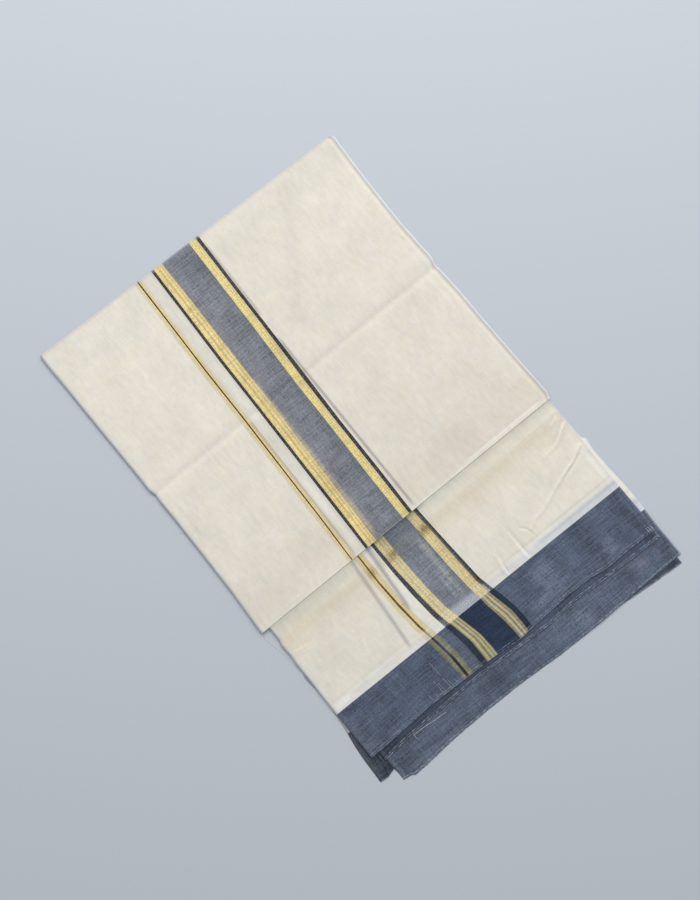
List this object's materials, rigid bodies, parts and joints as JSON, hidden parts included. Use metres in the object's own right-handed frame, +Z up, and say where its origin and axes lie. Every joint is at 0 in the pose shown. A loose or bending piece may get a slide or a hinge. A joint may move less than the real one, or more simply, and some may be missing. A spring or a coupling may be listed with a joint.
{
  "type": "folded dhoti cloth",
  "caption": "Cotton dhoti length folded flat in four layers, with a striped border, a soft tuck across it and dark end bands stepped at the loose ends.",
  "frame": {"origin": "centre of the folded pack's box, on the surface that it lies on", "axes": "+X from the four selvages to the side folds, +Y along the cloth towards the top fold, +Z up"},
  "size_m": [0.6618, 0.993, 0.0081],
  "materials": {
    "cream_cotton": "plain-woven cream cotton with a striped border, matt",
    "end_band_cotton": "plain-woven grey-blue cotton, matt"
  },
  "bodies": {
    "root": {"upper_stretch": "cream_cotton", "lower_stretch": "cream_cotton", "folded_layers": "cream_cotton", "lower_fold": "cream_cotton", "top_end_band": "end_band_cotton", "second_end_band": "end_band_cotton", "third_end_band": "end_band_cotton", "fourth_end_band": "end_band_cotton"}
  },
  "joints": []
}
